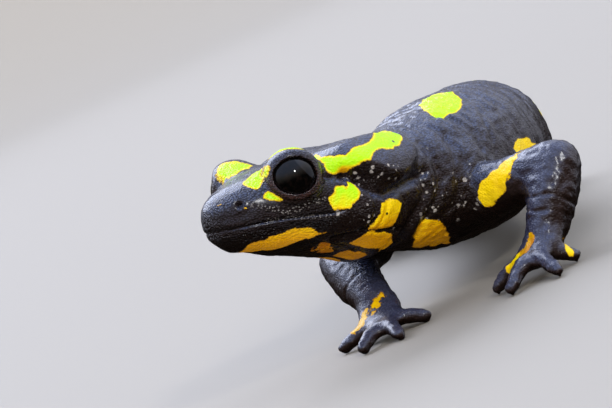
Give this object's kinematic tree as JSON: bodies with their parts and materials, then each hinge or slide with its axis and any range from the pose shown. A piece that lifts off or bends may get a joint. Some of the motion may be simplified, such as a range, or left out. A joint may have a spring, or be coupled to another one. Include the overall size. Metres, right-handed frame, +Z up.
{
  "type": "fire salamander",
  "caption": "Life-size fire salamander standing on four feet, chest raised, head up and turned, tail laid on the floor.",
  "frame": {"origin": "on the floor, under the middle of the animal's bounding box", "axes": "+X towards the tail end, along the animal's longest extent; +Y towards the animal's right side; +Z up"},
  "size_m": [0.1614, 0.0668, 0.0268],
  "materials": {
    "skin": "moist glossy skin, near-black with bright yellow patches",
    "eye": "wet dark eyeball"
  },
  "bodies": {
    "root": {"eye_left": "eye", "eye_right": "eye", "foreleg_left_foot": "skin", "foreleg_left_lower": "skin", "foreleg_left_upper": "skin", "foreleg_right_foot": "skin", "foreleg_right_lower": "skin", "foreleg_right_upper": "skin", "head": "skin", "hindleg_left_foot": "skin", "hindleg_left_lower": "skin", "hindleg_left_upper": "skin", "hindleg_right_foot": "skin", "hindleg_right_lower": "skin", "hindleg_right_upper": "skin", "neck": "skin", "tail_base": "skin", "tail_middle": "skin", "tail_tip": "skin", "torso": "skin"}
  },
  "joints": []
}
